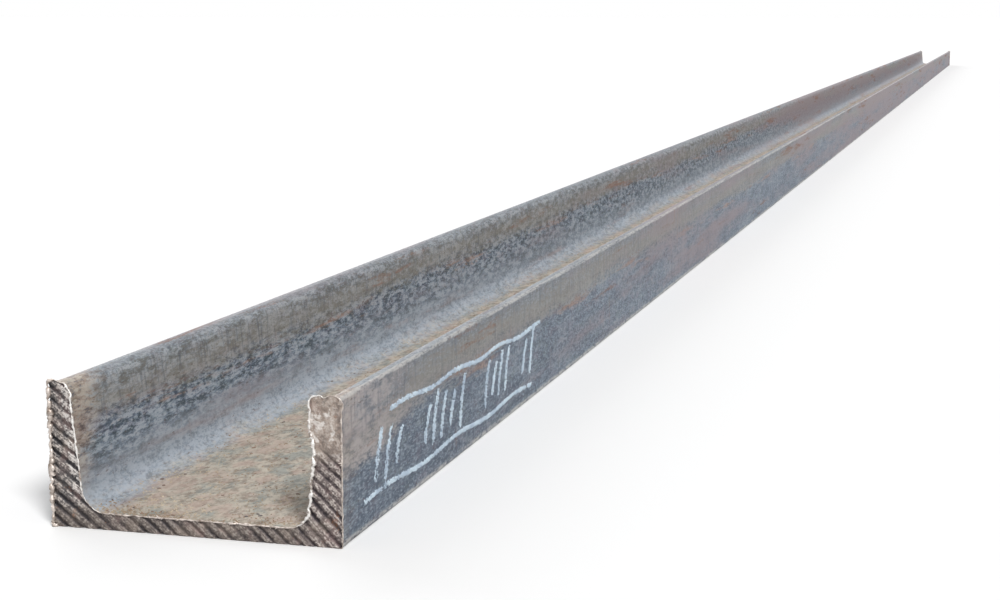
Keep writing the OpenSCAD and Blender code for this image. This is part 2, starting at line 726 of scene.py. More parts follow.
@dataclass(frozen=True)
class MillScale:
    """Blue-grey rolling scale with dust, rust and scuffs, on every face that was rolled, and painted shade
    and painted light on the flanges' outer faces.
    """

    section: Section
    blue_grey: Colour = srgb(113, 127, 142)
    cool_light: Colour = srgb(152, 162, 172)
    slate: Colour = srgb(72, 82, 98)
    deep_slate: Colour = srgb(58, 68, 74)
    mauve: Colour = srgb(136, 126, 138)
    green_grey: Colour = srgb(126, 138, 136)
    tan: Colour = srgb(148, 141, 129)
    rust: Colour = srgb(140, 102, 82)
    rust_deep: Colour = srgb(88, 64, 54)
    brim: Colour = srgb(164, 122, 92)
    blush: Colour = srgb(140, 127, 131)
    pale: Colour = srgb(174, 166, 165)
    dust: Colour = srgb(196, 186, 170)
    dust_deep: Colour = srgb(140, 127, 112)
    dust_rose: Colour = srgb(192, 166, 152)
    powder_blue: Colour = srgb(170, 177, 186)
    ochre: Colour = srgb(196, 144, 92)
    worn: Colour = srgb(196, 194, 190)
    scorched: Colour = srgb(158, 141, 124)
    scorched_pink: Colour = srgb(168, 148, 134)
    metallic: float = 0.15
    specular: float = 0.25
    speckle_grain: float = 1.2 * MM
    mottle_grain: float = 9.0 * MM
    streak_grain: float = 2.4 * MM
    cloud_grain: float = 26.0 * MM
    hue_grain: float = 5.0 * MM
    blotch_grain: float = 2.6 * MM
    fleck_grain: float = 0.6 * MM
    rust_grain: float = 11.0 * MM
    dust_grain: float = 1.6 * MM
    pit_grain: float = 0.9 * MM
    relief: float = 0.16 * MM
    strip_low: float = 4.0 * MM
    strip_high: float = 20.0 * MM

    def build(self) -> bpy.types.Material:
        """Builds the finish.

        Returns:
            The finish as a material.
        """
        nodes = Finish("mill_scale")
        nodes.fill(nodes.shader, {"Specular IOR Level": self.specular})
        spot = Spot.read(nodes, self.section.length)
        speckle = nodes.noise(spot.rolled, self.speckle_grain, 4.0, 0.7)
        mottle = nodes.noise(spot.rolled, self.mottle_grain, 5.0, 0.65)
        ground = self._ground(spot, speckle, mottle)
        colour, rusty = self._weathered(spot, ground, speckle, mottle)
        colour = self._end_strip(spot, colour, speckle, mottle)
        colour, settled, powder = self._dusted(spot, colour, speckle)
        colour, worn = self._rubbed(spot, colour)
        pit = nodes.noise(spot.rolled, self.pit_grain, 2.0).rise(0.33, 0.27)
        colour = nodes.washed(colour, (pit * 0.5, self.rust_deep))
        dull = (settled + rusty).at_most(1.0)
        rough = 0.46 + speckle * 0.22 + dull * 0.26 - worn * 0.14
        relief = speckle * 0.8 + mottle * 0.8 + powder * settled * 1.6 - pit * 0.6
        bump = nodes.bumped(relief, self.relief)
        return nodes.surface(colour, rough, (1.0 - dull) * self.metallic, bump)

    def _ground(self, spot: Spot, speckle: Value, mottle: Value) -> Value:
        """The scale's own blue-grey, with its speckle, clouds, rolling streaks and hanging marks, and
        painted shade that darkens the flanges' outer faces, most by the ends.

        Args:
            spot: Where the point is.
            speckle: Fine noise that everything on the scale follows.
            mottle: Broad noise that everything on the scale follows.

        Returns:
            The colour.
        """
        nodes = spot.nodes
        streak = nodes.noise(spot.along, self.streak_grain, 3.0, 0.6)
        cloud = nodes.noise(spot.rolled, self.cloud_grain, 3.0, 0.55)
        scale = nodes.ramp(
            speckle * 0.52 + mottle * 0.22 + streak * 0.16 + cloud * 0.10,
            [(0.42, self.slate), (0.5, self.blue_grey), (0.575, self.cool_light)],
        )
        hue = nodes.noise(spot.rolled, self.hue_grain, 4.0, 0.7)
        hanging = nodes.noise(spot.upright, 2.2 * MM, 3.0, 0.55)
        skew = nodes.join(spot.x, spot.y * 0.05 + spot.z * 0.10, spot.z + spot.y * 0.035)
        scratch = nodes.noise(skew, 1.3 * MM, 1.0).rise(0.70, 0.76)
        by_end = spot.from_end.rise(0.40, 0.06)
        inside = spot.x.rise_mm(-46, -44) * spot.x.rise_mm(-26, -34)
        blotch = nodes.noise(spot.rolled, self.blotch_grain, 4.0, 0.7)
        fleck = nodes.noise(spot.rolled, self.fleck_grain, 2.0, 0.6)
        return nodes.washed(
            scale,
            (hue.rise(0.51, 0.64) * 0.34, self.mauve),
            (hue.rise(0.48, 0.36) * 0.34, self.green_grey),
            (hanging.rise(0.54, 0.70) * cloud.rise(0.40, 0.56) * 0.6, self.slate),
            (hanging.rise(0.45, 0.30) * mottle.rise(0.42, 0.56) * 0.5, self.cool_light),
            (scratch * 0.4, self.cool_light),
            # painted shade: the flanges' outer faces are darkened with slate, most by the ends
            (spot.outside() * (0.16 + by_end * 0.26), self.slate),
            (blotch.rise(0.50, 0.59) * inside * 0.85, self.powder_blue),
            (blotch.rise(0.49, 0.40) * inside * 0.90, self.deep_slate),
            (fleck.rise(0.54, 0.66) * 0.62, self.cool_light),
            (fleck.rise(0.45, 0.33) * 0.60, self.slate),
        )

    def _weathered(self, spot: Spot, ground: Value, speckle: Value, mottle: Value) -> tuple[Value, Value]:
        """The tan upper band, the blush that grows along the bar, and the rust, with painted light at the
        top of the outer faces by the ends.

        Args:
            spot: Where the point is.
            ground: The scale's own colour.
            speckle: Fine noise that everything on the scale follows.
            mottle: Broad noise that everything on the scale follows.

        Returns:
            The new colour, and one where it is rusty.
        """
        nodes = spot.nodes
        edge = nodes.noise(spot.along, 8 * MM, 3.0, 0.6)
        # painted light: by the ends the band on the outer faces reaches lower, and its top is painted pale
        by_end = spot.from_end.rise_mm(90, 30) * spot.outside()
        level = spot.z + (edge - 0.5) * 14 * MM + (speckle - 0.5) * 18 * MM + by_end * 8 * MM
        band = level.rise_mm(29, 38) * (1.0 - level.rise_mm(38, 47) * 0.55)
        upper = level.rise_mm(29, 36) * by_end
        lit = nodes.noise(spot.rolled, 3.0 * MM, 4.0, 0.7)
        hung = nodes.noise(spot.upright, 1.5 * MM, 3.0, 0.6).rise(0.50, 0.68)
        high = (spot.z + (mottle - 0.5) * 16 * MM).rise_mm(30, 38)
        brim = level.rise_mm(26, 30) * level.rise_mm(35, 31)
        broken = nodes.noise(spot.along, 6 * MM, 4.0, 0.7).rise(0.50, 0.64)
        drift = nodes.noise(spot.along, self.cloud_grain, 4.0, 0.6)
        far = spot.from_near.rise(0.25, 2.4)
        uneven = drift * 1.6 - 0.3 + (mottle - 0.5) * 0.4 + (speckle - 0.5) * 0.4
        patch = nodes.noise(spot.along, self.rust_grain, 5.0, 0.7) + far * 0.04 + band * 0.03
        grains = nodes.noise(spot.rolled, 1.0 * MM, 4.0, 0.75)
        rusty = (patch.rise(0.52, 0.78) * 0.80 + grains * 1.10 - 0.78).rise(0.0, 0.46)
        drip = nodes.noise(spot.upright, 3.4 * MM, 2.0).rise(0.64, 0.78) * drift.rise(0.40, 0.62)
        colour = nodes.washed(
            ground,
            (band * 0.62, self.tan),
            # painted light: the top of the outer faces by the ends, painted pale and mottled with slate
            (upper * (0.25 + lit.rise(0.40, 0.60) * 0.55), self.pale),
            (upper * lit.rise(0.46, 0.36) * 0.45, self.slate),
            (hung * high * 0.45, self.slate),
            (brim * broken * 0.5, self.brim),
            ((uneven + far * 0.30).rise(0.50, 0.90) * 0.76, self.blush),
            (rusty * 0.60, self.rust),
            (drip * 0.30, self.rust),
        )
        return colour, rusty

    def _end_strip(self, spot: Spot, colour: Value, speckle: Value, mottle: Value) -> Value:
        """The strip by each sawn end that the blade's heat turned tan, wider towards the flange tips.

        Args:
            spot: Where the point is.
            colour: The colour so far.
            speckle: Fine noise that everything on the scale follows.
            mottle: Broad noise that everything on the scale follows.

        Returns:
            The new colour.
        """
        nodes = spot.nodes
        rise = spot.z / self.section.flange_width
        reach = self.strip_low + (self.strip_high - self.strip_low) * rise * rise
        wander = (mottle - 0.5) * 36 * MM + (speckle - 0.5) * 30 * MM
        strip = (spot.from_end + wander).rise(reach + 8 * MM, reach - 6 * MM)
        blotch = nodes.noise(spot.rolled, self.blotch_grain, 4.0, 0.7)
        hue = nodes.washed(
            self.scorched,
            (mottle.rise(0.44, 0.58), self.scorched_pink),
            (speckle.rise(0.51, 0.62) * 0.7, self.dust),
            (speckle.rise(0.47, 0.37) * 0.75, self.slate),
            (blotch.rise(0.51, 0.61) * 0.6, self.dust),
            (blotch.rise(0.48, 0.38) * 0.6, self.rust_deep),
        )
        return nodes.washed(colour, (strip * (0.76 - spot.outside() * 0.54), hue))

    def _dusted(self, spot: Spot, colour: Value, speckle: Value) -> tuple[Value, Value, Value]:
        """The dust on the trough's floor and up its roots, and the rust under it.

        Args:
            spot: Where the point is.
            colour: The colour so far.
            speckle: Fine noise that everything on the scale follows.

        Returns:
            The new colour, one where dust has settled, and the dust's own noise.
        """
        nodes = spot.nodes
        in_trough = (self.section.depth / 2 - 3 * MM - abs(spot.x)).rise_mm(0, 1)
        bank = nodes.noise(spot.rolled, 11 * MM, 4.0, 0.65)
        climb = spot.z + (bank - 0.5) * 12 * MM + (speckle - 0.5) * 16 * MM
        left_root = spot.x.rise_mm(-27, -35) * in_trough
        settled = (climb + left_root * 7 * MM).rise_mm(17, 6) * in_trough
        settled = settled * spot.face_up.rise(0.02, 0.45)
        lying = nodes.vector("MULTIPLY", spot.place, (1.0, 0.55, 1.0))
        powder = nodes.noise(lying, self.dust_grain, 5.0, 0.75)
        clump = nodes.noise(lying, 5 * MM, 4.0, 0.7)
        grey = nodes.noise(lying, 9 * MM, 5.0, 0.7)
        dust = nodes.washed(
            nodes.ramp(powder * 0.55 + clump * 0.45, [(0.42, self.dust_deep), (0.56, self.dust)]),
            (grey.rise(0.50, 0.60) * 0.5, self.dust_rose),
            (grey.rise(0.48, 0.38) * 0.5, self.green_grey),
        )
        powdered = left_root * climb.rise_mm(22, 11) * (0.25 + powder.rise(0.42, 0.60) * 0.6)
        inwards = 1.0 - spot.from_end.rise(0.10, 0.70) * 0.6
        damp = nodes.noise(spot.along, 12 * MM, 5.0, 0.7) + (speckle - 0.5) * 0.2
        stain = damp.rise(0.52, 0.68) * abs(spot.x).rise_mm(20, 36) * climb.rise_mm(22, 9)
        ochre_stain = stain * spot.x.rise_mm(26, 36) * damp.rise(0.56, 0.68)
        colour = nodes.washed(
            colour,
            (climb.rise_mm(30, 12) * in_trough * 0.35, self.cool_light),
            (powdered * inwards, self.powder_blue),
            (settled * 0.88, dust),
            (stain * in_trough * 0.45, self.rust),
            (ochre_stain * in_trough * 0.6, self.ochre),
        )
        return colour, settled, powder

    def _rubbed(self, spot: Spot, colour: Value) -> tuple[Value, Value]:
        """The bright rubbed lines along the heels and the outer corners of the tips.

        Args:
            spot: Where the point is.
            colour: The colour so far.

        Returns:
            The new colour, and one where it is rubbed bright.
        """
        nodes = spot.nodes
        side = abs(spot.x)
        heel = spot.z.rise_mm(2.6, 1.1) * side.rise_mm(48.6, 49.6)
        tip = spot.z.rise_mm(46.7, 47.4) * side.rise_mm(48.2, 49.2)
        chips = nodes.noise(spot.along, 2.6 * MM, 4.0, 0.7).rise(0.32, 0.52)
        fine = nodes.noise(spot.rolled, 1.2 * MM, 3.0, 0.7).rise(0.32, 0.54)
        worn = (heel + tip * 0.7).at_most(1.0) * chips * fine
        return nodes.washed(colour, (worn * 0.8, self.worn)), worn


def shades(*levels: tuple[float, float, float]) -> tuple[Colour, ...]:
    """Several colours as a screen shows them, for the linear ones that shaders take."""
    return tuple(srgb(*level) for level in levels)


@dataclass(frozen=True)
class SawnSteel:
    """Bare sawn steel, light on the ridges that the blade left and brown with rust between them, with
    painted glints on the ridges.
    """

    section: Section
    blade: Blade
    ridge: Colour = srgb(197, 188, 181)
    brown: tuple[Colour, ...] = shades((126, 115, 112), (95, 86, 85), (63, 54, 56), (39, 33, 37))
    grey: tuple[Colour, ...] = shades((114, 109, 107), (80, 77, 77), (47, 44, 46), (27, 25, 29))
    olive: tuple[Colour, ...] = shades((112, 103, 97), (90, 82, 79), (70, 63, 62), (52, 47, 48))
    flat: Colour = srgb(142, 133, 126)
    polished: Colour = srgb(236, 232, 228)
    straw: Colour = srgb(180, 163, 148)
    rose: Colour = srgb(176, 146, 140)
    rust: Colour = srgb(166, 112, 76)
    levels: tuple[float, ...] = (0.05, 0.26, 0.52, 0.80, 1.05)
    groove_depth: float = 0.42 * MM
    grit_grain: float = 0.7 * MM
    drawn_grain: float = 1.4 * MM
    drawn_across: float = 4.0
    area_grain: float = 7.0 * MM
    relief: float = 0.12 * MM
    metallic: float = 0.45

    def build(self) -> bpy.types.Material:
        """Builds the finish.

        Returns:
            The finish as a material.
        """
        nodes = Finish("sawn_steel")
        spot = Spot.read(nodes, self.section.length)
        depth = spot.from_end / self.groove_depth
        grit = nodes.noise(spot.place, self.grit_grain, 4.0, 0.75)
        reach = self.blade.reach(spot.x, spot.z)
        drawn = nodes.join(reach * self.drawn_across, spot.x + spot.y, spot.z)
        fine = nodes.noise(drawn, self.drawn_grain, 3.0, 0.65)
        area = nodes.noise(spot.place, self.area_grain, 3.0, 0.6) - 0.5
        lying = (spot.z + area * 5 * MM).rise_mm(9, 5)
        level = depth + (grit - 0.5) * 0.70 + (0.5 - fine) * 0.25
        colour = self._grooved(spot, level, area, lying)
        colour, rusty = self._stained(spot, colour, area)
        from_face = -spot.x - self.section.inner_face(spot.z)
        inner = from_face.rise_mm(4.0, 2.6) * spot.x.rise_mm(-34, -37) * spot.z.rise_mm(8, 14)
        outer = spot.x.rise_mm(-41.5, -43.5)
        # painted highlights: bright glints on the ridges, strongest by the left-hand flange's inner edge
        inner_glint = inner * depth.rise(0.55, 0.25) * fine.rise(0.42, 0.52)
        glint = (grit * 0.6 + fine * 0.4 - depth * 0.35).rise(0.41, 0.51)
        colour = nodes.washed(
            colour,
            (inner_glint * 0.65, self.polished),
            (glint * (0.46 - lying * 0.32 - outer * 0.14 + inner * 0.24), self.ridge),
        )
        rough = 0.36 + grit * 0.24 + rusty * 0.2
        bump = nodes.bumped(fine + grit * 1.4, self.relief, 0.9)
        return nodes.surface(colour, rough, (1.0 - rusty) * self.metallic, bump)

    def _tones(self, level: Value, tones: Sequence[Colour]) -> Value:
        """The colour at a depth of the saw marks, from the bright ridges down to the bottoms."""
        return level.nodes.ramp(level, list(zip(self.levels, tones)))

    def _grooved(self, spot: Spot, level: Value, area: Value, lying: Value) -> Value:
        """The saw marks' own colours: brown, greyer on the left-hand flange and flat along the web.

        Args:
            spot: Where the point is.
            level: How deep it lies in the saw marks.
            area: Broad noise about nothing, which makes the borders wander.
            lying: One along the web.

        Returns:
            The colour.
        """
        across = spot.x + area * 14 * MM
        return spot.nodes.washed(
            self._tones(level, (self.ridge, *self.brown)),
            (across.rise_mm(-34, -42), self._tones(level, (self.ridge, *self.grey))),
            (lying * across.rise_mm(42, 34) * 0.85, self._tones(level, (self.flat, *self.olive))),
        )

    def _stained(self, spot: Spot, colour: Value, area: Value) -> tuple[Value, Value]:
        """The straw-coloured smears, most of all on the right-hand flange's tip, and the rust.

        Args:
            spot: Where the point is.
            colour: The colour so far.
            area: Broad noise about nothing, which makes the borders wander.

        Returns:
            The new colour, and one where it is rusty.
        """
        nodes = spot.nodes
        cloud = nodes.noise(spot.place, 11 * MM, 3.0, 0.6)
        upper = (spot.z + area * 16 * MM).rise_mm(26, 34) * spot.x.rise_mm(30, 38)
        bumps = nodes.noise(spot.place, 3.2 * MM, 4.0, 0.65)
        tint = nodes.noise(spot.place, 8 * MM, 3.0, 0.6)
        stain = nodes.noise(spot.place, 5 * MM, 5.0, 0.75)
        corner = abs(spot.x).rise_mm(24, 42) * spot.z.rise_mm(26, 10)
        rusty = (stain + corner * 0.04).rise(0.61, 0.74)
        colour = nodes.washed(
            colour,
            ((cloud.rise(0.52, 0.68) * 0.4 + upper).at_most(1.0) * 0.5, self.straw),
            (bumps.rise(0.51, 0.60) * upper * 0.75, self.olive[0]),
            (bumps.rise(0.47, 0.38) * upper * 0.62, self.polished),
            (tint.rise(0.50, 0.66) * 0.20, self.rose),
            (rusty * 0.45, self.rust),
        )
        return colour, rusty


@dataclass(frozen=True)
class TornBurr:
    """The bright torn lip that the saw left along the arrises."""

    polished: Colour = srgb(240, 238, 235)
    bright: Colour = srgb(214, 203, 195)
    dull: Colour = srgb(174, 162, 153)
    tarnish: Colour = srgb(130, 113, 101)

    def build(self) -> bpy.types.Material:
        """Builds the finish.

        Returns:
            The finish as a material.
        """
        nodes = Finish("torn_burr")
        place = nodes.place()
        patch = nodes.noise(place, 3 * MM, 4.0, 0.7)
        colour = nodes.ramp(patch, [(0.34, self.tarnish), (0.45, self.dull), (0.56, self.bright)])
        x, _, _ = nodes.split(place)
        inner = abs(x).rise_mm(34, 36) * abs(x).rise_mm(46, 43)
        colour = nodes.washed(colour, (inner * patch.rise(0.40, 0.50) * 0.8, self.polished))
        rough = 0.3 + patch * 0.2
        bump = nodes.bumped(nodes.noise(place, 0.5 * MM, 2.0), 0.08 * MM)
        return nodes.surface(colour, rough, patch * 0.5 + 0.2, bump)


@dataclass(frozen=True)
class Speckled:
    """A dull finish whose colour wanders between two."""

    title: str
    first: Colour
    second: Colour
    grain: float
    roughness: float = 0.85

    def build(self) -> bpy.types.Material:
        """Builds the finish.

        Returns:
            The finish as a material.
        """
        nodes = Finish(self.title)
        place = nodes.place()
        patch = nodes.noise(place, self.grain, 2.0)
        colour = nodes.washed(self.first, (patch.rise(0.36, 0.64), self.second))
        rough = self.roughness + (patch - 0.5) * 0.15
        bump = nodes.bumped(nodes.noise(place, self.grain / 4, 2.0), 0.05 * MM)
        return nodes.surface(colour, rough, 0.0, bump)


class Piece:
    """What every sub-assembly of the bar shares."""

    @staticmethod
    def seat(piece: bpy.types.Object) -> bpy.types.Object:
        """Rides a piece on the bar and reports it.

        Args:
            piece: The finished piece.

        Returns:
            The same piece.
        """
        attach(piece, BODY)
        piece.data.calc_loop_triangles()
        log.info("%s: %d triangles", piece.name, len(piece.data.loop_triangles))
        return piece


@dataclass(frozen=True)
class Girth:
    """The way round the section's outline, drawn wider than it is on the small roundings."""

    section: Section
    arc_steps: int = 12
    underside: float = 0.55
    sharp_rounding: float = 3.0
    toe_rounding: float = 1.4

    def _widths(self) -> list[tuple[float, float]]:
        """How wide each corner's rounding and the side after it are drawn, in the corners' order.

        Returns:
            The two widths of each corner, where one is as wide as it is.
        """
        right = [1.0, self.toe_rounding, self.sharp_rounding, self.sharp_rounding]
        roundings = right[::-1] + right
        return list(zip(roundings, [1.0] * (len(roundings) - 1) + [self.underside]))

    def _rounding(self, before: Vector, corner: Vector, after: Vector, radius: float) -> list[Vector]:
        """The points of the arc that rounds a corner.

        Args:
            before: The corner before it.
            corner: The corner.
            after: The corner after it.
            radius: The arc's radius.

        Returns:
            The points, in the outline's order.
        """
        back = (before - corner).normalized()
        on = (after - corner).normalized()
        half_angle = back.angle(on) / 2
        run = radius / math.tan(half_angle)
        centre = corner + (back + on).normalized() * (radius / math.sin(half_angle))
        first = corner + back * run - centre
        last = corner + on * run - centre
        sweep = first.angle_signed(last)
        arc = []
        for turn in range(self.arc_steps + 1):
            angle = -sweep * turn / self.arc_steps
            cosine, sine = math.cos(angle), math.sin(angle)
            spoke = Vector((first.x * cosine - first.y * sine, first.x * sine + first.y * cosine))
            arc.append(centre + spoke)
        return arc

    def measured(self, x: np.ndarray, z: np.ndarray) -> tuple[np.ndarray, float]:
        """How far round the outline points lie, counted from the middle of the underside.

        Args:
            x: Their places across the bar.
            z: Their heights.

        Returns:
            The drawn distance of each point, and the drawn length of the whole outline.
        """
        corners = self.section.corners()
        path: list[Vector] = []
        widths: list[float] = []
        for turn, (arc_width, side_width) in enumerate(self._widths()):
            (*corner, radius), after = corners[turn], corners[(turn + 1) % len(corners)]
            path += self._rounding(Vector(corners[turn - 1][:2]), Vector(corner), Vector(after[:2]), radius)
            widths += [arc_width] * self.arc_steps + [side_width]
        start = np.array([tuple(point) for point in path])
        step = np.roll(start, -1, axis=0) - start
        length = np.linalg.norm(step, axis=1)
        drawn = length * np.array(widths)
        reached = np.concatenate([[0.0], np.cumsum(drawn)])
        way = np.stack([x, z], axis=1)[:, None, :] - start[None]
        share = np.clip((way * step).sum(2) / (length * length), 0.0, 1.0)
        gap = np.linalg.norm(way - share[:, :, None] * step, axis=2)
        nearest = gap.argmin(1)
        distance = reached[nearest] + share[np.arange(len(x)), nearest] * drawn[nearest]
        whole = float(reached[-1])
        return (distance + drawn[-1] / 2) % whole, whole


@dataclass(frozen=True)
class BakeLayout:
    """Where each face of the bar lies on the image that its finish can be baked into.

    The two sawn ends lie side by side along the top. The rolled faces lie below them as two strips.
    The first strip holds the near part of the bar, drawn longer the nearer it is to the end.
    """

    section: Section
    sawn: bpy.types.Material
    near_part: float
    name: str = "OFBake"
    gap: float = 0.006
    room: float = 1.4 * MM
    crowding: float = 0.8
    seam_slack: float = 1.02

    def write(self, mesh: bpy.types.Mesh) -> None:
        """Adds the map to the bar's mesh.

        Args:
            mesh: The bar's mesh, already dressed.
        """
        vertex = self._read(mesh.loops, "vertex_index", np.int32, 1)
        place = self._read(mesh.vertices, "co", np.float32, 3)[vertex]
        count = self._read(mesh.polygons, "loop_total", np.int32, 1)
        slot = self._read(mesh.polygons, "material_index", np.int32, 1)
        first = self._read(mesh.polygons, "loop_start", np.int32, 1)
        on_end = [index for index, worn in enumerate(mesh.materials) if worn == self.sawn]
        sawn = np.repeat(np.isin(slot, on_end), count)
        x, y, z = place.astype(np.float64).T
        middle = np.repeat(np.add.reduceat(y, first) / count, count)
        on_strips = self._on_strips(x, y, z, middle, first, count)
        spots = np.where(sawn[:, None], self._on_ends(x, middle, z), on_strips)
        layer = mesh.uv_layers.new(name=self.name)
        layer.uv.foreach_set("vector", spots.astype(np.float32).ravel())

    @staticmethod
    def _read(items: bpy.types.bpy_prop_collection, name: str, kind: type, width: int) -> np.ndarray:
        """One property of every item, as an array.

        Args:
            items: The items.
            name: The property.
            kind: The type of its numbers.
            width: How many numbers each item has.

        Returns:
            One row of numbers for each item.
        """
        found = np.empty(len(items) * width, kind)
        items.foreach_get(name, found)
        return found.reshape(-1, width) if width > 1 else found

    def _scale(self) -> float:
        """How much of the image a metre of a sawn end takes."""
        return (1 - 3 * self.gap) / 2 / (self.section.depth + 2 * self.room)

    def _on_ends(self, x: np.ndarray, middle: np.ndarray, z: np.ndarray) -> np.ndarray:
        """Spots on the blocks of the two ends, the near one on the left and the far one on the right.

        Args:
            x: Each corner's place across the bar.
            middle: Its face's middle along the bar.
            z: Its height.

        Returns:
            The spot of each corner.
        """
        across = self.gap + (x + self.section.depth / 2 + self.room) * self._scale()
        top = 1 - self.gap
        up = top + (z - self.section.flange_width - self.room) * self._scale()
        return np.stack([np.where(middle < 0, across, 1 - across), up], axis=1)

    def _on_strips(
        self,
        x: np.ndarray,
        y: np.ndarray,
        z: np.ndarray,
        middle: np.ndarray,
        first: np.ndarray,
        count: np.ndarray,
    ) -> np.ndarray:
        """Spots on the two strips of the rolled faces.

        Args:
            x: Each corner's place across the bar.
            y: Its place along the bar.
            z: Its height.
            middle: Its face's middle along the bar.
            first: Each face's first corner.
            count: Each face's number of corners.

        Returns:
            The spot of each corner.
        """
        round_way, whole = Girth(self.section).measured(x, z)
        highest = np.repeat(np.maximum.reduceat(round_way, first), count)
        round_way = np.where(round_way < highest - whole / 2, round_way + whole, round_way)
        whole *= self.seam_slack
        from_near = y + self.section.length / 2
        near = middle + self.section.length / 2 < self.near_part
        crowded = np.log1p(np.maximum(from_near, 0.0) / self.crowding)
        crowded = crowded / math.log1p(self.near_part / self.crowding)
        rest = (from_near - self.near_part) / (self.section.length - self.near_part)
        along = 1 - self.gap - (1 - 2 * self.gap) * np.where(near, crowded, rest)
        ends = (self.section.flange_width + self.room) * self._scale()
        strip = (1 - ends - 4 * self.gap) / 2
        up = self.gap + strip * round_way / whole + np.where(near, strip + self.gap, 0.0)
        return np.stack([along, up], axis=1)


@dataclass
class Bar(Piece):
    """The rolled bar itself, with its sawn ends."""

    section: Section
    blade: Blade
    scale: bpy.types.Material
    sawn: bpy.types.Material
    rings: int = 301
    arc_steps: int = 8
    step_across: float = 7.0 * MM
    overrun: float = 6.0 * MM
    saw_cell: float = 0.226 * MM
    waviness: float = 0.10 * MM
    wave_grain: float = 22.0 * MM
    lip_reach: float = 1.9 * MM
    ridge_pitch: float = 3.3 * MM
    fine_pitch: float = 0.85 * MM
    tightening: float = 1.17
    near_rings: int = 110
    pushed: PushedMetal = PushedMetal()
    pushed_back: float = 2.4 * MM
    pushed_rough: float = 0.7 * MM
    last_ring: float = 0.9999
    end_zone: float = 2.0 * MM
    end_lean: float = 0.3
    block_room: float = 4.0 * MM
    sharp_angle: float = 38.0

    def build(self) -> bpy.types.Object:
        """Sweeps the section, cuts it to length with the saw's marks and dresses it.

        Returns:
            The bar as one closed mesh.
        """
        shape = SectionShape("bar_shape", self.section)
        scale = shape.finish_input("Rolled faces", self.scale)
        sawn = shape.finish_input("Sawn ends", self.sawn)
        parts = [self._swept(shape), *self._lumps(shape)]
        swept = self._solid(shape, "UNION", parts)
        cut = self._solid(shape, "INTERSECT", [swept, self._saw_block(shape)])
        bar = shape.dressed(shape.realized(self._softened(shape, cut)), scale)
        _, y, _ = shape.here()
        _, lean, _ = shape.split(shape.normal())
        on_end = (abs(y) > shape.sizes.length / 2 - self.end_zone) * (lean * y.sign() > self.end_lean)
        piece = shape.build("channel_bar", shape.dressed(bar, sawn, on_end))
        inward = self.near_rings / ((self.rings - 1) / 2)
        BakeLayout(self.section, self.sawn, self.section.length / 2 * inward ** 2).write(piece.data)
        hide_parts(NODE)
        return self.seat(piece)

    def _solid(self, shape: SectionShape, operation: str, parts: list[Value]) -> Value:
        """Several closed meshes made one, by what they have together or between them."""
        settings = {"operation": operation, "solver": "MANIFOLD"}
        return shape.add("GeometryNodeMeshBoolean", settings, {"Mesh 2": parts})

    def _swept(self, shape: SectionShape) -> Value:
        """Carries the outline along the bar, a little past both ends.

        Args:
            shape: The bar's tree.

        Returns:
            A closed mesh with the lips that the saw raised by each end.
        """
        outline = shape.outline(self.arc_steps)
        sockets = {"Point Index": shape.index(), "Offset": 1}
        ahead = shape.add("GeometryNodeOffsetPointInCurve", sockets=sockets, output=1)
        settings = {"data_type": "FLOAT_VECTOR", "domain": "POINT"}
        sockets = {"Value": shape.position(), "Index": ahead}
        following = shape.add("GeometryNodeFieldAtIndex", settings, sockets)
        sockets = {0: shape.position(), 1: following}
        gap = shape.add("ShaderNodeVectorMath", {"operation": "DISTANCE"}, sockets, "Value")
        cuts = shape.math("FLOOR", gap / self.step_across)
        outline = shape.add("GeometryNodeSubdivideCurve", sockets={"Curve": outline, "Cuts": cuts})

        line = shape.add("GeometryNodeCurvePrimitiveLine", sockets={"Start": (0, -1, 0), "End": (0, 1, 0)})
        line = shape.add("GeometryNodeResampleCurve", sockets={"Curve": line, "Count": self.rings})
        share = shape.add("GeometryNodeSplineParameter") * 2 - 1
        inward = 1 - abs(share)
        beyond = (abs(share) > self.last_ring) * self.overrun
        along = share.sign() * (shape.sizes.length / 2 * (1 - inward * inward) + beyond)
        line = shape.placed(line, shape.join(0.0, along))
        sockets = {"Curve": line, "Profile Curve": outline, "Fill Caps": True}
        body = shape.add("GeometryNodeCurveToMesh", sockets=sockets)
        return self._worked(shape, body)

    def _worked(self, shape: SectionShape, body: Value) -> Value:
        """Gives the swept body its waviness and the lips by its ends.

        Args:
            shape: The bar's tree.
            body: The swept body.

        Returns:
            The worked body.
        """
        long_place = shape.vector("MULTIPLY", shape.position(), (1.0, 0.08, 1.0))
        wave = shape.noise(long_place, self.wave_grain, 2.0) * self.waviness
        fade = shape.math("EXPONENT", shape.from_end() / -self.lip_reach)
        body = shape.moved(body, shape.scaled(shape.normal(), shape.lip() * fade - wave))
        x, y, z = shape.here()
        height = z.at_least(0.0).at_most(shape.sizes.flange_width + MOST_OUT)
        return shape.placed(body, shape.join(x, y, height))

    def _lumps(self, shape: SectionShape) -> list[Value]:
        """The lumps of pushed-out metal, each a rough ball half behind the near end.

        Args:
            shape: The bar's tree.

        Returns:
            The lumps.
        """
        ball = shape.add("GeometryNodeMeshIcoSphere", sockets={"Radius": 1.0, "Subdivisions": 4})
        rough = (shape.noise(shape.position(), 1.6 * MM, 2.0, 0.6) - 0.5) * self.pushed_rough
        lumps = []
        for x, z, wide, high in self.pushed.lumps:
            place = (x * MM, -self.section.length / 2, z * MM)
            sized = shape.shifted(ball, place, scale=(wide * MM, self.pushed_back, high * MM))
            lumps.append(shape.moved(sized, shape.scaled(shape.normal(), rough)))
        return lumps

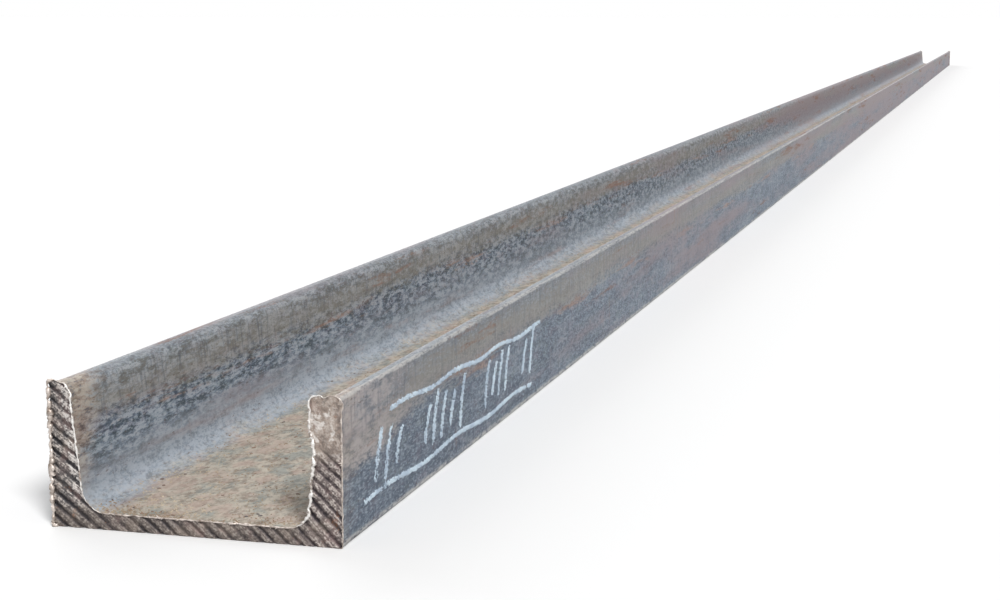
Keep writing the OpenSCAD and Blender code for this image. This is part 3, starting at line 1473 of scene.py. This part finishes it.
    def _saw_block(self, shape: SectionShape) -> Value:
        """The block that cuts the bar to length, whose end faces carry the blade's marks.

        Args:
            shape: The bar's tree.

        Returns:
            The block.
        """
        wide = self.section.depth + 2 * self.block_room
        high = self.section.flange_width + 2 * self.block_room
        sockets = {
            "Size": (wide, self.section.length, high),
            "Vertices X": round(wide / self.saw_cell),
            "Vertices Y": 2,
            "Vertices Z": round(high / self.saw_cell),
        }
        block = shape.add("GeometryNodeMeshCube", sockets=sockets)
        block = shape.shifted(block, (0.0, 0.0, self.section.flange_width / 2))
        x, y, z = shape.here()
        along = y.sign() * (shape.sizes.length / 2 - self._marks(shape, x, z))
        return shape.placed(block, shape.join(x, along, z))

    def _marks(self, shape: SectionShape, x: Value, z: Value) -> Value:
        """How deep the blade's marks are at a place on an end.

        Args:
            shape: The bar's tree.
            x: Place across the bar.
            z: Height.

        Returns:
            The depth, in metres.
        """
        place = shape.position()
        ragged = shape.noise(place, 1.3 * MM, 3.0, 0.6) - 0.5
        wander = (shape.noise(place, 22 * MM, 1.0) - 0.5) * 1.6 * MM + ragged * 0.9 * MM
        reach = self.blade.reach(x, z) + wander
        broad = self._grooves(shape, reach, self.ridge_pitch, 3.0)
        narrow = self._grooves(shape, reach, self.fine_pitch, 19.0)
        strength = shape.noise(place, 9 * MM, 3.0, 0.6).rise(0.30, 0.54)
        torn = shape.noise(place, 0.9 * MM, 4.0, 0.7)
        ridged = (0.16 + 0.26 * strength) * broad + 0.08 * narrow + 0.20 * torn.rise(0.36, 0.68)
        edge = z + (shape.noise(place, 6 * MM, 3.0, 0.6) - 0.5) * 16 * MM
        smeared = edge.rise_mm(27, 32) * x.rise_mm(36, 38)
        blotch = 0.02 + 0.24 * shape.noise(place, 3.0 * MM, 4.0, 0.7).rise(0.44, 0.70) + 0.10 * torn
        return shape.mixed(smeared, ridged, blotch) * MM

    def _grooves(self, shape: SectionShape, reach: Value, pitch: float, shift: float) -> Value:
        """Narrow grooves in arcs, each steep on its near side and as deep as chance has it.

        Args:
            shape: The bar's tree.
            reach: Distance from the blade's axle.
            pitch: Distance between two grooves where they are widest.
            shift: Moves what is random, so that two rows differ.

        Returns:
            One at the bottom of the deepest grooves, and nothing between them.
        """
        nearness = reach - self.blade.nearest
        drift = (shape.noise(shape.join(reach, shift), pitch * 3.0, 2.0) - 0.5) * pitch * 0.7
        turns = (nearness + drift) * (0.88 + nearness * self.tightening) / pitch
        row = shape.math("FLOOR", turns)
        across = turns - row
        deep = shape.noise(shape.join(row * 0.37, shift), 1.0, 1.0).rise(0.30, 0.58)
        return across.rise(0.24, 0.40) * across.rise(0.86, 0.44) * (0.45 + deep * 0.55)

    def _softened(self, shape: SectionShape, geometry: Value) -> Value:
        """Shades the faces smoothly, apart from the arrises.

        Args:
            shape: The bar's tree.
            geometry: The bar's mesh.

        Returns:
            The shaded mesh.
        """
        sockets = {"Geometry": geometry, "Shade Smooth": True}
        smooth = shape.add("GeometryNodeSetShadeSmooth", {"domain": "FACE"}, sockets)
        angle = shape.add("GeometryNodeInputMeshEdgeAngle")
        sharp = angle > math.radians(self.sharp_angle)
        sockets = {"Geometry": smooth, "Selection": sharp, "Shade Smooth": False}
        return shape.add("GeometryNodeSetShadeSmooth", {"domain": "EDGE"}, sockets)


@dataclass
class Burr(Piece):
    """The ragged lip of torn metal along the arrises of both ends."""

    section: Section
    finish: bpy.types.Material
    outline_steps: int = 6
    step: float = 0.5 * MM
    sides: int = 6
    thin: float = 0.11
    thick: float = 0.92
    sunk: float = 0.05 * MM
    least_out: float = 0.02 * MM
    heavy_out: float = 0.30 * MM
    shards: int = 640
    shard_radius: float = 0.34 * MM
    shard_height: float = 1.15 * MM
    seed: int = 11
    pushed: PushedMetal = PushedMetal()

    def build(self) -> bpy.types.Object:
        """Runs a bead of uneven thickness round the outline and sets torn points on it.

        Returns:
            The burrs of both ends as one mesh.
        """
        shape = SectionShape("burr_shape", self.section)
        finish = shape.finish_input("Torn metal", self.finish)
        upright = shape.shifted(shape.outline(self.outline_steps), turn=(-math.pi / 2, 0.0, 0.0))
        ends = [shape.shifted(upright, (0.0, end.value * self.section.length / 2, 0.0)) for end in BarEnd]
        path = shape.together(ends)
        sockets = {"Curve": path, "Length": self.step}
        path = shape.add("GeometryNodeResampleCurve", {"mode": "LENGTH"}, sockets)
        weight = self._weight(shape)
        path = shape.moved(path, self._drift(shape, weight))
        x, y, z = shape.here()
        path = shape.placed(path, self._round_lumps(shape, x, y, z))
        parts = [self._beads(shape, path, weight), self._torn(shape, path, weight)]
        whole = self._pressed(shape, shape.realized(shape.together(parts)))
        return self.seat(shape.build("saw_burr", shape.dressed(whole, finish)))

    def _round_lumps(self, shape: SectionShape, x: Value, y: Value, z: Value) -> Value:
        """Where a point of the bead goes, so that it runs round the lumps of pushed-out metal.

        Args:
            shape: The burr's tree.
            x: Place across the bar.
            y: Place along the bar.
            z: Height.

        Returns:
            The new place.
        """
        across, up = self.pushed.cleared(x, z)
        pushed = (y < 0.0) * (x > self.pushed.from_x) * (z > self.pushed.from_z)
        return shape.join(x + (across - x) * pushed, y, z + (up - z) * pushed)

    def _beads(self, shape: SectionShape, path: Value, weight: Value) -> Value:
        """A bead of uneven thickness along a path.

        Args:
            shape: The burr's tree.
            path: The way round the arrises.
            weight: How heavy the burr is.

        Returns:
            The bead.
        """
        sockets = {"Resolution": self.sides, "Radius": MM}
        ring = shape.add("GeometryNodeCurvePrimitiveCircle", {"mode": "RADIUS"}, sockets)
        ragged = shape.noise(shape.position(), 1.7 * MM, 4.0, 0.75).rise(0.34, 0.68)
        bead = self.thin + weight * (0.12 + self.thick * ragged)
        sockets = {"Curve": path, "Profile Curve": ring, "Scale": bead}
        return shape.add("GeometryNodeCurveToMesh", sockets=sockets)

    def _pressed(self, shape: SectionShape, burr: Value) -> Value:
        """Flattens the burr where the bar lies on it, and where it would stand out too far.

        Args:
            shape: The burr's tree.
            burr: The whole burr.

        Returns:
            The flattened burr.
        """
        x, y, z = shape.here()
        side = self.section.depth / 2 + MOST_OUT
        end = self.section.length / 2 + MOST_OUT
        top = self.section.flange_width + MOST_OUT
        x, y = x.at_most(side).at_least(-side), y.at_most(end).at_least(-end)
        return shape.placed(burr, shape.join(x, y, z.at_most(top).at_least(0.0)))

    def _weight(self, shape: SectionShape) -> Value:
        """How heavy the burr is: most on the arrises that face left, where the blade came out.

        Args:
            shape: The burr's tree.

        Returns:
            The weight, where one is plain.
        """
        x, _, z = shape.here()
        patchy = shape.noise(shape.position(), 8 * MM, 2.0).rise(0.38, 0.62)
        right_inner = x.rise_mm(34, 37) * x.rise_mm(47, 45) * z.rise_mm(5, 9)
        right_inner = right_inner * (1.0 - z.rise_mm(36, 44) * 0.6)
        left_outer = x.rise_mm(-48.5, -49.6)
        left_inner = x.rise_mm(-34, -37) * x.rise_mm(-47, -45) * z.rise_mm(9, 16)
        ledge = z.rise_mm(4, 5) * z.rise_mm(7, 6) * 0.45
        right_outer = x.rise_mm(48.5, 49.6) * 0.30
        heavy = (right_inner + left_outer * 1.6 + left_inner * 0.55 + ledge + right_outer).at_most(1.6)
        return heavy * (0.45 + patchy * 0.55)

    def _drift(self, shape: SectionShape, weight: Value) -> Value:
        """How the bead leaves the drawn outline: out to the arris's lip, and in small uneven steps.

        Args:
            shape: The burr's tree.
            weight: How heavy the burr is.

        Returns:
            The offset of a point of the bead.
        """
        _, y, _ = shape.here()
        tangent = shape.add("GeometryNodeInputTangent")
        outward = shape.vector("CROSS_PRODUCT", tangent, (0.0, 1.0, 0.0))
        lip = shape.scaled(outward, shape.lip() - self.sunk)
        out = shape.join(0.0, y.sign() * (self.least_out + weight * self.heavy_out), 0.0)
        return shape.vector("ADD", shape.vector("ADD", lip, self._shake(shape, weight)), out)

    def _shake(self, shape: SectionShape, weight: Value) -> Value:
        """Small uneven steps, larger where the burr is heavy.

        Args:
            shape: The burr's tree.
            weight: How heavy the burr is.

        Returns:
            The offset of a point.
        """
        sockets = {"Vector": shape.position(), "Scale": 1 / (1.6 * MM), "Detail": 3.0}
        shake = shape.add("ShaderNodeTexNoise", sockets=sockets, output="Color")
        shake = shape.vector("SUBTRACT", shake, (0.5, 0.5, 0.5))
        shake = shape.vector("MULTIPLY", shake, (1.2 * MM, 1.0 * MM, 1.2 * MM))
        return shape.scaled(shake, 0.25 + weight * 0.75)

    def _torn(self, shape: SectionShape, path: Value, weight: Value) -> Value:
        """Small torn points that stand out of the bead.

        Args:
            shape: The burr's tree.
            path: The way round the arrises.
            weight: How heavy the burr is.

        Returns:
            The points.
        """
        sockets = {"Curve": path, "Count": self.shards}
        dots = shape.add("GeometryNodeCurveToPoints", {"mode": "COUNT"}, sockets)
        point = shape.cone(5, 0.0, self.shard_radius, self.shard_height)
        _, y, _ = shape.here()
        spread = shape.chance_vector((-0.9, -0.3, -0.7), (0.5, 0.9, 0.8), self.seed)
        way = shape.vector("MULTIPLY", spread, shape.join(1.0, y.sign(), 1.0))
        way = shape.vector("ADD", way, (-0.35, 0.0, 0.0))
        turn = shape.add("FunctionNodeAlignRotationToVector", {"axis": "Z"}, {"Vector": way})
        scale = shape.chance(0.5, 1.15, self.seed + 1)
        kept = shape.chance(0.0, 1.0, self.seed + 2) < weight * 0.75
        return shape.scattered(dots, point, turn, scale, kept)


@dataclass(frozen=True)
class Scatter:
    """How copies of a shape are scattered.

    They are as many as count says, scaled between smallest and largest and tipped by up to tilt degrees.
    What is random in them starts from the seed.
    """

    name: str
    count: int
    smallest: tuple[float, float, float]
    largest: tuple[float, float, float]
    tilt: float
    seed: int


@dataclass
class Grit(Piece):
    """Dust, sand and loose scale that settled on the trough's floor."""

    section: Section
    sand: bpy.types.Material
    flake: bpy.types.Material
    grains: Scatter = Scatter("Grains", 6400, (0.16, 0.16, 0.10), (0.42, 0.46, 0.26), 30, 21)
    flakes: Scatter = Scatter("Flakes", 260, (0.25, 0.40, 0.8), (0.7, 1.2, 1.2), 5, 41)
    near_power: float = 2.6
    side_power: float = 0.75
    from_ends: float = 1.0 * MM
    up_roots: float = 5.0 * MM
    lift: float = 0.05 * MM
    bare: float = 0.44

    def build(self) -> bpy.types.Object:
        """Scatters grains and flakes over the floor, most of them by the near end.

        Returns:
            All of them as one mesh.
        """
        shape = Shape("grit_shape")
        sand = shape.finish_input("Sand", self.sand)
        flake = shape.finish_input("Loose scale", self.flake)
        ball = shape.add("GeometryNodeMeshIcoSphere", sockets={"Radius": MM, "Subdivisions": 1})
        plate = shape.cone(6, 0.8 * MM, 1.0 * MM, 0.18 * MM)
        grains = self._spread(shape, ball, self.grains)
        flakes = self._spread(shape, plate, self.flakes)
        grains = shape.dressed(shape.realized(grains), sand)
        flakes = shape.dressed(shape.realized(flakes), flake)
        return self.seat(shape.build("trough_grit", shape.together([grains, flakes])))

    def _spread(self, shape: Shape, piece: Value, scatter: Scatter) -> Value:
        """Scatters copies of one shape over the floor and the roots.

        Args:
            shape: The tree to work in.
            piece: The shape that is copied.
            scatter: How the copies are scattered.

        Returns:
            The copies.
        """
        seed = scatter.seed
        many = shape.count(scatter.name, scatter.count)
        near = shape.chance(0.0, 1.0, seed) ** self.near_power
        y = (near - 0.5) * (self.section.length - 2 * self.from_ends)
        across = shape.chance(-1.0, 1.0, seed + 1)
        spread = across.sign() * (abs(across) ** self.side_power)
        x = spread * (self.section.floor_half() + self.up_roots)
        climb = (abs(x) - self.section.floor_half()).at_least(0.0)
        drop = (self.section.root_radius ** 2 - climb * climb).root()
        z = self.section.web_thickness + self.section.root_radius - drop + self.lift
        points = shape.add("GeometryNodePoints", sockets={"Count": many, "Position": shape.join(x, y, z)})
        tip = math.radians(scatter.tilt)
        turn = shape.chance_turn((-tip, -tip, 0.0), (tip, tip, 2 * math.pi), seed + 2)
        scale = shape.chance_vector(scatter.smallest, scatter.largest, seed + 3)
        kept = shape.noise(shape.position(), 18 * MM, 3.0, 0.6) > self.bare
        return shape.scattered(points, piece, turn, scale, kept)


# A chalk stroke's points as (distance from the near end, height), in millimetres
Stroke = list[tuple[float, float]]


@dataclass
class ChalkTally(Piece):
    """A stock keeper's chalk tally on the right-hand flange: groups of ticks and two wavy lines."""

    section: Section
    finish: bpy.types.Material
    groups: tuple[tuple[float, int], ...] = ((32.0, 3), (84.0, 5), (162.0, 4), (222.0, 2))
    lines: tuple[tuple[float, ...], ...] = (
        (22.0, 236.0, 9.5, 7.0, 0.9, 83.0),
        (48.0, 252.0, 35.0, 31.0, 0.8, 61.0),
    )
    line_steps: int = 24
    tick_gap: float = 11.0
    tick_low: float = 13.5
    tick_high: float = 28.5
    tick_middle: float = 2.2
    tick_lean: float = 6.5
    flake_step: float = 0.36 * MM
    layers: int = 10
    smear_along: float = 2.0 * MM
    smear_up: float = 0.9 * MM
    smear_out: float = 0.02 * MM
    bare: float = 0.475
    seed: int = 61

    def strokes(self) -> Iterable[Stroke]:
        """The strokes of the tally, from the near end on.

        Returns:
            The slanted ticks, in groups, and the two long lines that they hang between.
        """
        for line in self.lines:
            yield self._line(*line)
        for group, (first, count) in enumerate(self.groups):
            for turn in range(count):
                foot = first + turn * self.tick_gap + 1.5 * math.sin(5.1 * turn + group)
                low = self.tick_low + 1.8 * math.sin(3.7 * turn + first)
                high = self.tick_high + 2.2 * math.cos(4.3 * turn + first)
                middle = (foot + self.tick_middle, (low + high) / 2)
                yield [(foot, low), middle, (foot + self.tick_lean, high)]

    def _line(
        self, first: float, last: float, low: float, high: float, swing: float, wave: float
    ) -> Stroke:
        """A long wavy line.

        Args:
            first: Where it starts, from the near end.
            last: Where it stops.
            low: Its height at its start.
            high: Its height at its end.
            swing: How far it swings up and down.
            wave: Length of one swing.

        Returns:
            The line's points.
        """
        points = []
        for turn in range(self.line_steps + 1):
            reach = (last - first) * turn / self.line_steps
            rise = (high - low) * turn / self.line_steps
            swung = swing * math.sin(2 * math.pi * (last - first) * turn / self.line_steps / wave)
            points.append((first + reach, low + rise + swung))
        return points

    def _sketch(self) -> bpy.types.Mesh:
        """The strokes as bare edges on the flange's outer face.

        Returns:
            The edges as a mesh.
        """
        points: list[tuple[float, float, float]] = []
        edges: list[tuple[int, int]] = []
        for stroke in self.strokes():
            for turn, (reach, height) in enumerate(stroke):
                if turn:
                    edges.append((len(points) - 1, len(points)))
                points.append((self.section.depth / 2, -self.section.length / 2 + reach * MM, height * MM))
        sketch = bpy.data.meshes.new("tally_sketch")
        sketch.from_pydata(points, edges, [])
        return sketch

    def build(self) -> bpy.types.Object:
        """Strews flakes of chalk along the strokes.

        Returns:
            The flakes as one mesh.
        """
        shape = Shape("tally_shape")
        finish = shape.finish_input("Chalk", self.finish)
        lines = shape.add("GeometryNodeMeshToCurve", sockets={"Mesh": shape.given()})
        sockets = {"Curve": lines, "Length": self.flake_step}
        dots = shape.add("GeometryNodeCurveToPoints", {"mode": "LENGTH"}, sockets)
        sockets = {"Geometry": dots, "Amount": self.layers}
        dots = shape.add("GeometryNodeDuplicateElements", {"domain": "POINT"}, sockets)
        low = (0.0, -self.smear_along, -self.smear_up)
        high = (self.smear_out, self.smear_along, self.smear_up)
        shakes = [shape.chance_vector(low, high, self.seed + turn) for turn in range(2)]
        shake = shape.vector("ADD", *shakes)
        dots = shape.moved(dots, shape.scaled(shake, 0.5))
        flake = shape.cone(4, 0.7 * MM, 1.0 * MM, 0.2 * MM)
        turn = shape.chance_turn((-3.1, 1.45, -0.1), (3.1, 1.69, 0.1), self.seed + 2)
        scale = shape.chance_vector((0.20, 0.20, 0.25), (0.52, 0.52, 0.5), self.seed + 3)
        patch = shape.noise(shape.position(), 4 * MM, 5.0, 0.75)
        kept = patch + shape.chance(-0.12, 0.12, self.seed + 4) > self.bare
        flakes = shape.scattered(dots, flake, turn, scale, kept)
        whole = shape.dressed(shape.realized(flakes), finish)
        return self.seat(shape.build("chalk_tally", whole, self._sketch()))


@dataclass(frozen=True)
class Studio:
    """A plain white floor under a soft lamp, with a weak one from behind and even light all round."""

    floor_size: float = 400.0
    floor_drop: float = 0.05 * MM
    floor_colour: Colour = (0.93, 0.93, 0.93, 1.0)
    bounce_colour: Colour = (0.42, 0.42, 0.42, 1.0)
    lamp_way: tuple[float, float, float] = (0.42, -0.58, 0.62)
    lamp_strength: float = 2.85
    lamp_spread: float = 16.0
    back_way: tuple[float, float, float] = (-0.62, 0.70, 0.35)
    back_strength: float = 1.1
    back_spread: float = 50.0
    fill: float = 0.40

    def build(self) -> None:
        """Sets the floor, the lamps and the surroundings."""
        scene = bpy.context.scene
        scene.view_settings.view_transform = "Standard"
        self._floor()
        self._lamp("soft_lamp", self.lamp_way, self.lamp_strength, self.lamp_spread)
        self._lamp("back_lamp", self.back_way, self.back_strength, self.back_spread)
        world = bpy.data.worlds.new("surroundings")
        scene.world = world
        nodes = Nodes(emptied(world))
        level = nodes.mixed(self._seen(nodes), self.fill, 1.0)
        light = nodes.add("ShaderNodeBackground", sockets={"Color": (1, 1, 1, 1), "Strength": level})
        nodes.node("ShaderNodeOutputWorld", sockets={"Surface": light})

    def _lamp(self, name: str, way: tuple[float, float, float], strength: float, spread: float) -> None:
        """Hangs a far-off soft lamp.

        Args:
            name: What it is called.
            way: Where it hangs, as seen from the bar.
            strength: How strong it is.
            spread: How wide it looks from the bar, in degrees.
        """
        lamp = bpy.data.objects.new(name, bpy.data.lights.new(name, "SUN"))
        lamp.data.energy = strength
        lamp.data.angle = math.radians(spread)
        lamp.rotation_mode = "QUATERNION"
        lamp.rotation_quaternion = Vector(way).to_track_quat("Z", "Y")
        bpy.context.scene.collection.objects.link(lamp)

    def _seen(self, nodes: Nodes) -> Value:
        """One for rays that come straight, mirrored or through glass to the camera.

        Args:
            nodes: The tree to work in.

        Returns:
            One for those rays, and nothing for the others.
        """
        path = nodes.node("ShaderNodeLightPath")
        kinds = ("Camera", "Glossy", "Transmission")
        rays = [Value(nodes, path.outputs[f"Is {kind} Ray"]) for kind in kinds]
        return (rays[0] + rays[1] + rays[2]).at_most(1.0)

    def _floor(self) -> None:
        """Lays the floor just under the bar."""
        half = self.floor_size / 2
        mesh = bpy.data.meshes.new("studio_floor")
        corners = [(-half, -half), (half, -half), (half, half), (-half, half)]
        mesh.from_pydata([(x, y, -self.floor_drop) for x, y in corners], [], [(0, 1, 2, 3)])
        material = bpy.data.materials.new("floor_paint")
        nodes = Nodes(emptied(material))
        colour = nodes.washed(self.bounce_colour, (self._seen(nodes), self.floor_colour))
        paint = nodes.add("ShaderNodeBsdfDiffuse", sockets={"Color": colour})
        nodes.node("ShaderNodeOutputMaterial", sockets={"Surface": paint})
        mesh.materials.append(material)
        floor = bpy.data.objects.new("studio_floor", mesh)
        bpy.context.scene.collection.objects.link(floor)


@dataclass(frozen=True)
class Viewpoint:
    """The camera, in front of the near end and a little to its right, with the bar filling the frame."""

    section: Section
    right: float = 0.2452
    before_end: float = 0.5237
    height: float = 0.1650
    margin: float = 0.05
    frame_width: float = 1000.0
    frame_height: float = 600.0
    film_width: float = 36.0
    rounds: int = 60
    nearest: float = 0.01
    farthest: float = 1000.0

    def place(self) -> Vector:
        """Where the camera stands."""
        return Vector((self.right, -self.section.length / 2 - self.before_end, self.height))

    def _spans(self, yaw: float, pitch: float) -> tuple[list[float], list[float]]:
        """How far the bar's corners reach across and up the picture at a lens length of one.

        Args:
            yaw: How far the camera is turned to the left.
            pitch: How far it is tipped up.

        Returns:
            How far to the right each corner lies, and how far up.
        """
        flat = math.cos(pitch)
        ahead = Vector((-math.sin(yaw) * flat, math.cos(yaw) * flat, math.sin(pitch)))
        right = ahead.cross(Vector((0, 0, 1))).normalized()
        up = right.cross(ahead)
        side, end = self.section.depth / 2, self.section.length / 2
        across: list[float] = []
        above: list[float] = []
        for corner in product((-side, side), (-end, end), (0.0, self.section.flange_width)):
            way = Vector(corner) - self.place()
            across.append(way.dot(right) / way.dot(ahead))
            above.append(way.dot(up) / way.dot(ahead))
        return across, above

    def build(self) -> bpy.types.Object:
        """Aims a level camera at the middle of the bar's picture and sets its lens.

        Returns:
            The scene's camera.
        """
        yaw, pitch = 0.0, 0.0
        for _ in range(self.rounds):
            across, above = self._spans(yaw, pitch)
            yaw -= math.atan((min(across) + max(across)) / 2)
            pitch += math.atan((min(above) + max(above)) / 2)
        across, above = self._spans(yaw, pitch)
        room = 1 - 2 * self.margin
        lens = min(
            room / (max(across) - min(across)),
            room * self.frame_height / self.frame_width / (max(above) - min(above)),
        )
        camera = bpy.data.objects.new("viewpoint", bpy.data.cameras.new("viewpoint"))
        camera.data.sensor_width = self.film_width
        camera.data.lens = lens * self.film_width
        camera.data.clip_start = self.nearest
        camera.data.clip_end = self.farthest
        camera.location = self.place()
        camera.rotation_euler = (math.pi / 2 + pitch, 0.0, yaw)
        bpy.context.scene.collection.objects.link(camera)
        bpy.context.scene.camera = camera
        degrees = math.degrees(yaw), math.degrees(pitch)
        log.info("viewpoint: yaw %.2f, pitch %.2f, lens %.1f mm", *degrees, camera.data.lens)
        return camera


def main() -> None:
    """Builds the bar, what lies on it, the studio and the camera."""
    logging.basicConfig(level=logging.INFO, format="%(message)s")
    low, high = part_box(NODE)
    section = Section(depth=high.x - low.x, flange_width=high.z - low.z, length=high.y - low.y)
    blade = Blade()
    Bar(section, blade, MillScale(section).build(), SawnSteel(section, blade).build()).build()
    Burr(section, TornBurr().build()).build()
    sand = Speckled("sand", srgb(196, 182, 160), srgb(142, 122, 102), 40 * MM)
    flake = Speckled("loose_scale", srgb(92, 86, 86), srgb(134, 108, 92), 30 * MM, 0.7)
    Grit(section, sand.build(), flake.build()).build()
    chalk = Speckled("chalk", srgb(206, 220, 230), srgb(186, 200, 214), 9 * MM, 0.95)
    ChalkTally(section, chalk.build()).build()
    Studio().build()
    Viewpoint(section).build()


if __name__ == "__main__":
    main()
